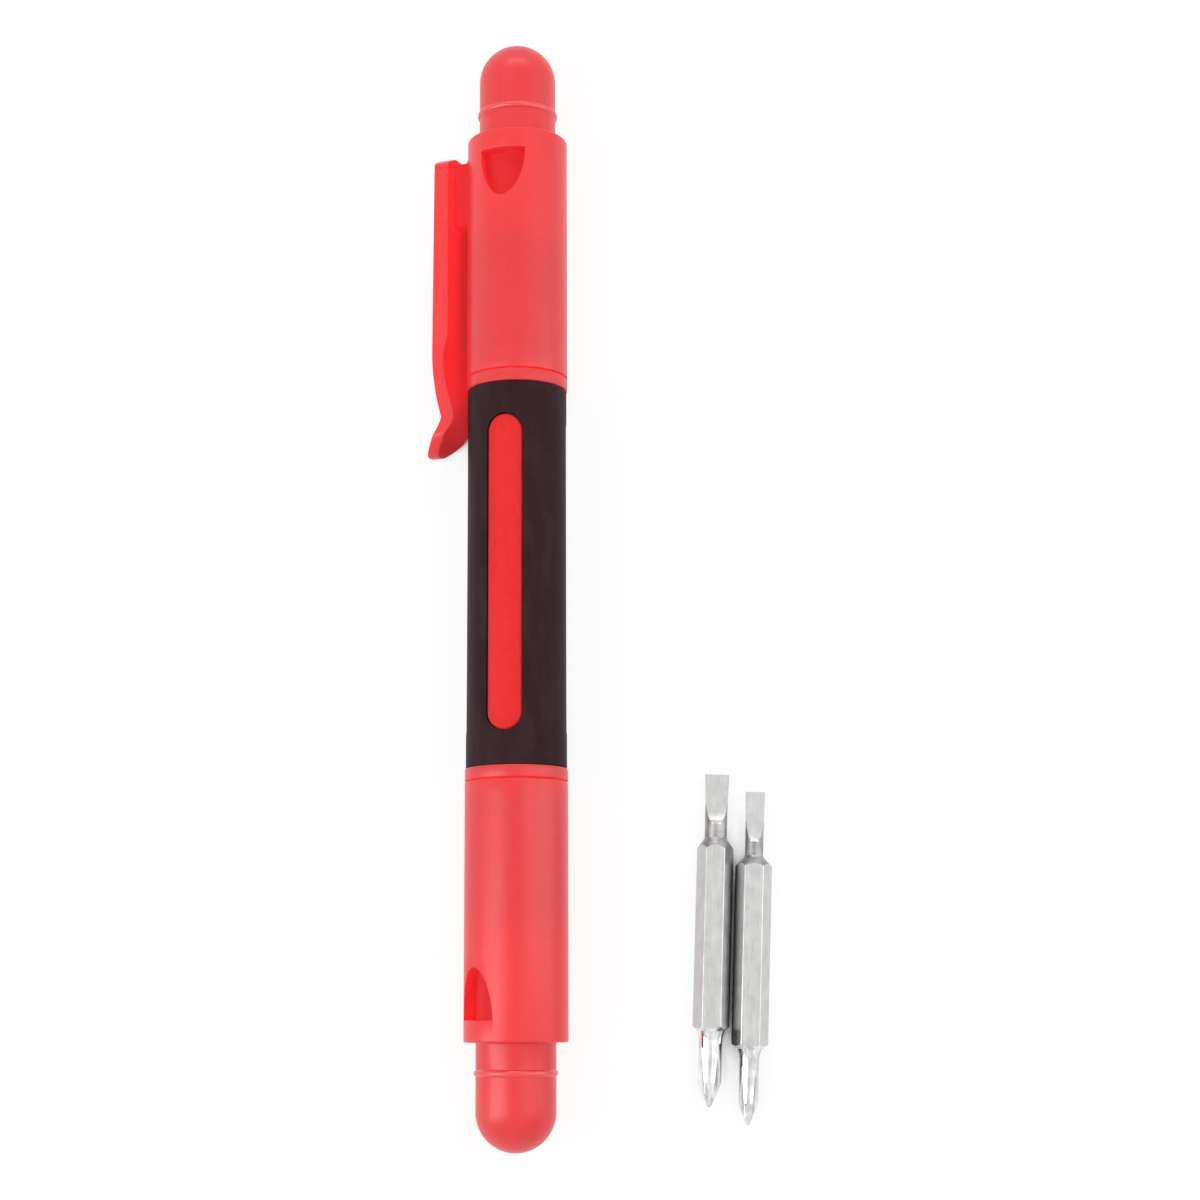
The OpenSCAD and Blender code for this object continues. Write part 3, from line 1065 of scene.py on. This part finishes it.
    def build(self, shelf: FinishShelf) -> list[bpy.types.Object]:
        """Models the clip and its web, dresses them and lets the web ride on the upper cap.

        Args:
            shelf: The finishes.

        Returns:
            The clip and the web.
        """
        clip, web = self.arm(), self.foot()
        for piece in (clip, web):
            shade(settle(piece, LAY), self.crisp)
            shelf.dress(piece, CAP_PLASTIC)
        inwards = (LAY.to_3x3() @ Vector((-1, 0, 0))).normalized()
        # The clip's inner face and the web's sides get a painted glow that fills the shade between the
        # clip and the cap.
        shelf.dress_part(clip, GAP_GLOW_PLASTIC, lambda face: face.normal.dot(inwards) > 0.6)
        shelf.dress_part(web, GAP_GLOW_PLASTIC, lambda face: abs(face.normal.dot(inwards)) < 0.8)
        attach(web, "upper_cap")
        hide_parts("upper_cap")
        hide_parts("pocket_clip")
        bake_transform(clip)
        return [clip, web]


@dataclass
class HandleCore:
    """Red core of the handle: two collars, two spigots and the pad in the grip's window."""

    barrel_r: float = 6.775
    core_r: float = 5.3
    spigot_r: float = 5.2
    seat_r: float = 3.52
    tail_r: float = 1.9
    grip_half: float = 25.5
    collar_face: float = 27.1
    spigot_end: float = 40.1
    socket_bottom: float = 20.1
    tail_bottom: float = 8.1
    bead_h: float = 0.27
    bead_w: float = 0.9
    bead_inset: float = 3.85
    rim: float = 0.1
    lip: float = 0.2
    land_r: float = 6.6
    pad: Point = (4.7, 42.0)
    pad_r: float = 6.58
    pad_depth: Point = (5.2, 6.2)
    pad_rims: tuple[float, ...] = (0.16, 0.1, 0.12)
    pad_drop: float = 0.28
    pad_edge: float = 0.3
    window_turn: float = 97.0

    def half(self) -> list[Point]:
        """Outline of the upper half, from its blind hole to mid length.

        Returns:
            The points, as radius and height.
        """
        edge, out = self.barrel_r - self.rim, self.spigot_r - self.rim
        return [
            (0, self.tail_bottom), (self.tail_r, self.tail_bottom), (self.tail_r, self.socket_bottom),
            (self.seat_r, self.socket_bottom), (self.seat_r, self.spigot_end - 0.12),
            (self.seat_r + 0.12, self.spigot_end),
            *arc((out, self.spigot_end - self.rim), self.rim, 90, 0, 3),
            *reversed(bead(self.spigot_r, self.bead_h, self.collar_face + self.bead_inset, self.bead_w)),
            (self.spigot_r, self.collar_face + 0.25), (self.spigot_r + 0.08, self.collar_face + 0.16),
            (self.land_r, self.collar_face + 0.16), (self.land_r + 0.03, self.collar_face),
            *arc((edge, self.collar_face - self.rim), self.rim, 90, 0, 3),
            *arc((self.barrel_r - self.lip, self.grip_half + self.lip), self.lip, 0, -90, 4),
            (self.core_r, self.grip_half), (self.core_r, 0),
        ]

    def on_collar(self, face: bpy.types.MeshPolygon) -> bool:
        """Tells whether a face is on the outside of a collar."""
        return (face.center.xy.length > (self.land_r + 0.06) * MM
                and self.grip_half * MM < abs(face.center.z) < self.collar_face * MM)

    def on_land(self, face: bpy.types.MeshPolygon) -> bool:
        """Tells whether a face is on the land inside a cap's joint."""
        return (face.center.xy.length > (self.spigot_r + 0.1) * MM
                and (self.collar_face - 0.02) * MM < abs(face.center.z) < (self.collar_face + 0.3) * MM)

    def window_pad(self) -> bpy.types.Object:
        """Models the crowned pad that fills the grip's window.

        Returns:
            The closed pad.
        """
        wide, tall = self.pad
        pad = stadium("window_pad", self.pad, self.pad_depth)
        with editing(pad):
            choose(pad, Part.FACES, lambda face: face.normal.x > 0.9)
            for rim in self.pad_rims:
                bpy.ops.mesh.inset(thickness=rim * MM, depth=0)
            reach = wide / 2 - sum(self.pad_rims)
            for share in (-0.75, -0.5, -0.25, 0, 0.25, 0.5, 0.75):
                bpy.ops.mesh.bisect(plane_co=(0, share * reach * MM, 0), plane_no=(0, 1, 0))
                choose(pad, Part.FACES, lambda face: face.normal.x > 0.9)
        top = self.pad_depth[1] * MM
        straight = (tall - wide) / 2 * MM
        for vertex in pad.data.vertices:
            if vertex.co.x < top - 1e-6:
                continue
            past = max(0.0, abs(vertex.co.z) - straight)
            inside = (wide / 2 * MM - math.hypot(vertex.co.y, past)) / MM
            drop = self.pad_drop * max(0.0, 1 - inside / self.pad_edge) ** 2
            vertex.co.x = math.sqrt((self.pad_r * MM) ** 2 - vertex.co.y**2) - drop * MM
        return settle(pad, about_z(self.window_turn))

    def build(self, shelf: FinishShelf) -> list[bpy.types.Object]:
        """Models the core and its pad, dresses them and lets them ride.

        Args:
            shelf: The finishes.

        Returns:
            The core and the pad.
        """
        upper = self.half()
        lower = [(radius, -height) for radius, height in reversed(upper)]
        core = turned("handle_core_moulding", upper + lower[1:], 128)
        pieces = [core, self.window_pad()]
        for piece in pieces:
            shelf.dress(piece, CORE_PLASTIC)
            shelf.dress_part(piece, CAP_PLASTIC, self.on_collar)
            # The land in each cap's joint gets a painted glow that fills the joint's shade.
            shelf.dress_part(piece, GAP_GLOW_PLASTIC, self.on_land)
            shade(settle(piece, LAY), CRISP)
            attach(piece, "handle")
            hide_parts("handle_core")
        return pieces


@dataclass
class RubberGrip:
    """Waisted rubber grip with a window and a shallow panel on each side of it."""

    half: float = 25.48
    end_r: float = 6.65
    waist: float = 0.02
    bore_r: float = 5.32
    rim: float = 0.14
    window: Point = (4.9, 42.2)
    window_turn: float = 97.0
    panel_start: float = 42.0
    panel_sweep: float = 96.0
    panel_depth: float = 0.06
    panel_slope: float = 0.6
    cutter: Point = (3, 9)
    lip_angle: float = 35
    lip_round: float = 0.1
    sides: int = 120

    def outer(self, height: float) -> float:
        """Outer radius at a height from mid length."""
        return self.end_r - self.waist * (1 - (height / self.half) ** 2)

    def outline(self) -> list[Point]:
        """Closed outline of the sleeve.

        Returns:
            The points, as radius and height.
        """
        edge = self.window[1] / 2
        heights = [-24, -23, -edge, *(i * 2.0 for i in range(-10, 11)), edge, 23, 24]
        low = arc((self.outer(self.half) - self.rim, -self.half + self.rim), self.rim, -90, 0, 4)
        high = [(radius, -height) for radius, height in reversed(low)]
        side = [(self.outer(height), height) for height in heights]
        loop = [(self.bore_r, -self.half), *low, *side, *high, (self.bore_r, self.half)]
        return [*loop, loop[0]]

    def build(self, shelf: FinishShelf) -> bpy.types.Object:
        """Models the sleeve, dresses it and lets it ride.

        Args:
            shelf: The finishes.

        Returns:
            The sleeve.
        """
        grip = turned("rubber_grip_sleeve", self.outline(), self.sides, self.window_turn)
        middle = self.panel_start + self.panel_sweep / 2
        with editing(grip):
            for way in (-1, 1):
                spot = heading(self.window_turn + way * middle)
                reach = math.cos(math.radians(self.panel_sweep / 2 - 0.5))

                def on_panel(face: bmesh.types.BMFace) -> bool:
                    """Tells whether a face is in this side's panel."""
                    at = face.calc_center_median()
                    return (at.xy.length > 6 * MM and abs(at.z) < self.window[1] / 2 * MM
                            and at.xy.normalized().dot(spot) > reach)

                choose(grip, Part.FACES, on_panel)
                bpy.ops.mesh.inset(thickness=self.panel_slope * MM, depth=0)
                share = 1 - self.panel_depth / self.outer(0)
                bpy.ops.transform.resize(value=(share, share, 1), center_override=(0, 0, 0))
        slot = stadium("window_tool", self.window, self.cutter)
        carve(grip, settle(slot, about_z(self.window_turn)))
        out = heading(self.window_turn)

        def on_lip(spot: Vector) -> bool:
            """Tells whether a spot is at the window's rim."""
            return (abs(spot.z) < 21.3 * MM and spot.xy.length > 6.2 * MM
                    and spot.xy.normalized().dot(out) > 0.9)

        with editing(grip):
            bpy.ops.mesh.remove_doubles(threshold=0.03 * MM)
            choose(grip, Part.EDGES, lambda edge: is_sharp(edge, self.lip_angle, on_lip))
            bpy.ops.mesh.bevel(offset=self.lip_round * MM, segments=2, clamp_overlap=True)
        shade(settle(grip, LAY), CRISP)
        shelf.dress(grip, RUBBER)
        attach(grip, "handle")
        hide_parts("grip_sleeve")
        return grip


@dataclass
class DoubleBit:
    """Hexagonal bit with a flat blade at one end and a cross point at the other."""

    name: str
    node: str
    across: float
    along: float
    neck_d: float
    blade_w: float
    blade_t: float
    shaft_d: float
    point_len: float
    flats: float = 4.2
    turned_d: float = 4.8
    hex_half: float = 11.55
    blade_len: float = 9.8
    cross_len: float = 10.3
    cone: float = 1.4
    shoulder: float = 0.6
    flare: float = 0.3
    flare_len: float = 1.3
    ground_len: float = 6.6
    widen_len: float = 2.6
    flute_len: float = 8.0
    flute_round: float = 0.12
    root_share: float = 0.15
    edge_round: float = 0.04
    edge_angle: float = 28
    crisp: float = 14

    def place(self) -> Matrix:
        """Where the bit lies beside the tool.

        Returns:
            The move from upright at the origin.
        """
        lie = Matrix.Translation(Vector((*BITS_PLACE, self.flats / 2 + TABLE)) * MM)
        lean = about_z(-BITS_LEAN) @ Matrix.Rotation(-math.pi / 2, 4, "X")
        return lie @ lean @ Matrix.Translation(Vector((self.across, 0, -self.along)) * MM)

    def outline(self) -> list[Point]:
        """Turned outline, from the cross point to the blade.

        Returns:
            The points, as radius and height.
        """
        half, tip, edge = self.hex_half, self.hex_half + self.cross_len, self.hex_half + self.blade_len
        shaft, neck = self.shaft_d / 2, self.neck_d / 2
        ground = edge - self.ground_len
        return [
            (0, -tip), (shaft * self.root_share, -tip), (shaft, -tip + self.point_len),
            (shaft, -half - self.shoulder - self.flare_len),
            (shaft + self.flare * 0.3, -half - self.shoulder - self.flare_len * 0.5),
            (shaft + self.flare, -half - self.shoulder),
            *((self.turned_d / 2, half * share) for share in (-1, -0.5, 0.5, 1)),
            (neck + 0.12, half + self.cone - 0.25),
            (neck, half + self.cone), (neck, ground), (neck, ground + self.widen_len),
            (self.blade_w / 2, edge - 0.3), (self.blade_w / 2, edge), (0, edge),
        ]

    def wedge(self, side: int) -> bpy.types.Object:
        """Body that grinds one face of the blade.

        Args:
            side: 1 or -1, for the face towards +Y or -Y.

        Returns:
            The closed body.
        """
        edge, thin = self.hex_half + self.blade_len, self.blade_t / 2
        steps = 14
        last = (thin, edge + 0.5)
        clear()
        bpy.ops.mesh.primitive_plane_add(size=2 * self.blade_w * MM,
                                         location=(0, (thin + self.blade_w) * MM, last[1] * MM))
        tool = fresh("wedge")
        with editing(tool):
            for step in range(steps + 1):
                share = step / steps
                here = (thin + (self.neck_d / 2 - thin) * share**3, edge - self.ground_len * share)
                pull((0, (here[0] - last[0]) * MM, (here[1] - last[1]) * MM))
                last = here
        if side < 0:
            settle(tool, about_z(180))
        return tool

    def flute(self, turn: float) -> bpy.types.Object:
        """Body that cuts one flute of the cross point.

        Args:
            turn: Its angle about the bit, in degrees.

        Returns:
            The closed body.
        """
        tip = self.hex_half + self.cross_len
        root = self.shaft_d * self.root_share
        slope = math.atan2(self.shaft_d / 2 - root, self.flute_len)
        size = self.shaft_d * MM
        clear()
        bpy.ops.mesh.primitive_plane_add(size=size * math.sqrt(2), location=(size, 0, -0.5 * MM),
                                         rotation=(0, 0, math.pi / 4))
        tool = fresh("flute")
        with editing(tool):
            bpy.ops.mesh.bevel(offset=self.flute_round * MM, segments=2, affect="VERTICES")
            choose(tool, Part.FACES, lambda face: True)
            pull((0, 0, (self.flute_len + 1) * MM))
        spot = Matrix.Translation(Vector((root, 0, -tip)) * MM)
        return settle(tool, about_z(turn) @ spot @ Matrix.Rotation(slope, 4, "Y"))

    def on_shaft(self, face: bpy.types.MeshPolygon) -> bool:
        """Tells whether a face is on the cross point or its shaft."""
        return face.center.z < (-self.hex_half - 0.03) * MM

    def on_neck(self, face: bpy.types.MeshPolygon) -> bool:
        """Tells whether a face is on the neck, beside or below the ground faces.

        Args:
            face: A face of the bit, before it is laid down.

        Returns:
            True if it is.
        """
        height, ground = face.center.z / MM, self.hex_half + self.blade_len - self.ground_len
        if self.hex_half + 0.03 < height < ground:
            return True
        return ground <= height < ground + self.widen_len and abs(face.normal.y) < 0.9

    def build(self, shelf: FinishShelf) -> bpy.types.Object:
        """Models the bit, dresses it and lets it ride.

        Args:
            shelf: The finishes.

        Returns:
            The bit.
        """
        bit = turned(self.name, self.outline(), 72)
        corner = self.flats / 2 / math.cos(math.radians(30))
        clear()
        bpy.ops.mesh.primitive_cylinder_add(vertices=6, radius=corner * MM, depth=60 * MM,
                                            rotation=(0, 0, math.radians(30)))
        carve(bit, fresh("hex_stock"), "INTERSECT")
        for side in (-1, 1):
            carve(bit, self.wedge(side))
        for turn in (45, 135, 225, 315):
            carve(bit, self.flute(turn))
        with editing(bit):
            bpy.ops.mesh.remove_doubles(threshold=0.01 * MM)
        soften(bit, self.edge_round, self.edge_angle, 1)
        shelf.dress(bit, BIT_STEEL)
        shelf.dress_part(bit, SHAFT_STEEL, self.on_shaft)
        shelf.dress_part(bit, NECK_STEEL, self.on_neck)
        shade(settle(bit, self.place()), self.crisp)
        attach(bit, self.node)
        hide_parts(self.node)
        return bit


# Studio


@dataclass(frozen=True)
class Softbox:
    """Large soft lamp that looks at the tool."""

    name: str
    place: tuple[float, float, float]
    size: Point
    watts: float
    mirrored: bool = True

    def hang(self) -> None:
        """Adds the lamp."""
        light = bpy.data.lights.new(self.name, "AREA")
        light.shape, light.size, light.size_y = "RECTANGLE", self.size[0], self.size[1]
        light.energy = self.watts
        lamp = bpy.data.objects.new(self.name, light)
        lamp.location = self.place
        lamp.visible_glossy = self.mirrored
        lamp.rotation_euler = (-Vector(self.place)).to_track_quat("-Z", "Y").to_euler()
        bpy.context.scene.collection.objects.link(lamp)


@dataclass
class Studio:
    """Camera, lamps, pale floor and white surroundings."""

    eye: tuple[float, float, float] = (18.52, -59.48, 313.45)
    pitch: float = 10.209
    yaw: float = 1.342
    roll: float = 0.504
    lens: float = 72.02
    surround: float = 0.42
    lamps: tuple[Softbox, ...] = (
        Softbox("left_softbox", (-0.42, -0.12, 0.34), (0.16, 0.54), 1.12),
        Softbox("right_softbox", (0.5, 0.04, 0.32), (0.3, 0.95), 1.05),
        Softbox("front_softbox", (0.02, -0.5, 0.3), (0.7, 0.16), 0.25, False),
        Softbox("back_softbox", (0.02, 0.52, 0.32), (0.5, 0.1), 0.66),
        Softbox("overhead_softbox", (0.08, 0.04, 0.8), (0.16, 0.8), 1.66, False),
    )

    def camera(self) -> None:
        """Adds the camera at the photograph's viewpoint."""
        pitch, yaw, roll = (math.radians(a) for a in (self.pitch, self.yaw, self.roll))
        ahead = Vector((0, math.sin(pitch), -math.cos(pitch)))
        up = Vector((0, math.cos(pitch), math.sin(pitch)))
        right = Vector((1, 0, 0))
        turn = Matrix.Rotation(yaw, 3, up)
        right, ahead = turn @ right, turn @ ahead
        tilt = Matrix.Rotation(roll, 3, ahead)
        right, up = tilt @ right, tilt @ up
        data = bpy.data.cameras.new("camera")
        data.sensor_width, data.lens = 36, self.lens
        data.clip_start, data.clip_end = 0.01, 20
        eye = bpy.data.objects.new("camera", data)
        turned_axes = Matrix((right, up, -ahead)).transposed().to_4x4()
        eye.matrix_world = Matrix.Translation(Vector(self.eye) * MM) @ turned_axes
        bpy.context.scene.collection.objects.link(eye)
        bpy.context.scene.camera = eye

    def floor(self) -> None:
        """Adds the pale table under the tool, whose glow fades in tight gaps and paints shadow there."""
        clear()
        bpy.ops.mesh.primitive_plane_add(size=6, location=(0, 0, TABLE * MM))
        table = fresh("table")
        bench = NodeBench("pale_table")
        path = bench.node("ShaderNodeLightPath")
        looked_at = (Number(bench, path.outputs["Is Camera Ray"])
                     + Number(bench, path.outputs["Is Glossy Ray"]))
        # Painted shadow: the table's glow for the camera and for reflections fades where the tool or the
        # bits hem it in.
        glow_with_painted_shadow = looked_at * bench.openness(5).above(0.12, 0.42)
        bench.finish(Base_Color=bench.blend(looked_at, (0.88, 0.88, 0.88), (0.14, 0.14, 0.14)),
                     Roughness=1.0, Specular_IOR_Level=0.0,
                     Emission_Color=bench.blend(glow_with_painted_shadow, (0, 0, 0), (0.87, 0.87, 0.87)),
                     Emission_Strength=1.0)
        table.data.materials.append(bench.material)

    def surroundings(self) -> None:
        """Lights the world evenly and shows it white to the camera and in reflections."""
        world = bpy.data.worlds.new("white_room")
        bpy.context.scene.world = world
        world.use_nodes = True
        tree = world.node_tree
        path = tree.nodes.new("ShaderNodeLightPath")
        total = tree.nodes.new("ShaderNodeMath")
        total.operation, total.use_clamp = "ADD", True
        tree.links.new(path.outputs["Is Camera Ray"], total.inputs[0])
        tree.links.new(path.outputs["Is Glossy Ray"], total.inputs[1])
        level = tree.nodes.new("ShaderNodeMapRange")
        level.inputs["To Min"].default_value = self.surround
        level.inputs["To Max"].default_value = 1.0
        tree.links.new(total.outputs[0], level.inputs["Value"])
        back = tree.nodes["Background"]
        back.inputs["Color"].default_value = (1, 1, 1, 1)
        tree.links.new(level.outputs["Result"], back.inputs["Strength"])

    def build(self) -> None:
        """Sets up camera, lamps, table and surroundings."""
        bpy.context.scene.view_settings.view_transform = "Standard"
        self.camera()
        self.surroundings()
        self.floor()
        for lamp in self.lamps:
            lamp.hang()


def main() -> None:
    """Builds the object piece by piece and reports each."""
    logging.basicConfig(level=logging.INFO, format="%(name)s: %(message)s")
    Studio().build()
    shelf = FinishShelf()
    pieces = [
        *HandleCore().build(shelf),
        RubberGrip().build(shelf),
        Cap("upper_cap_shell", "upper_cap", LAY, 93).build(shelf, "upper_cap"),
        Cap("lower_cap_shell", "lower_cap", OTHER_END, -58).build(shelf, "lower_cap"),
        *PocketClip().build(shelf),
        DoubleBit("large_double_bit", "large_bit", 0, 0, 2.95, 3.2, 0.6, 3.05, 3.1).build(shelf),
        DoubleBit("small_double_bit", "small_bit", 5.1, 2.15, 2.4, 2.6, 0.45, 2.55, 2.8).build(shelf),
    ]
    for name, finish in (("upper_bit_socket", SOCKET_STEEL), ("lower_bit_socket", SOCKET_STEEL),
                         ("upper_retaining_ring", RING_STEEL), ("lower_retaining_ring", RING_STEEL)):
        shelf.dress(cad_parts[name], finish)
        pieces.append(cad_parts[name])
    for piece in pieces:
        log.info("%s: %d faces", piece.name, len(piece.data.polygons))


if __name__ == "__main__":
    main()
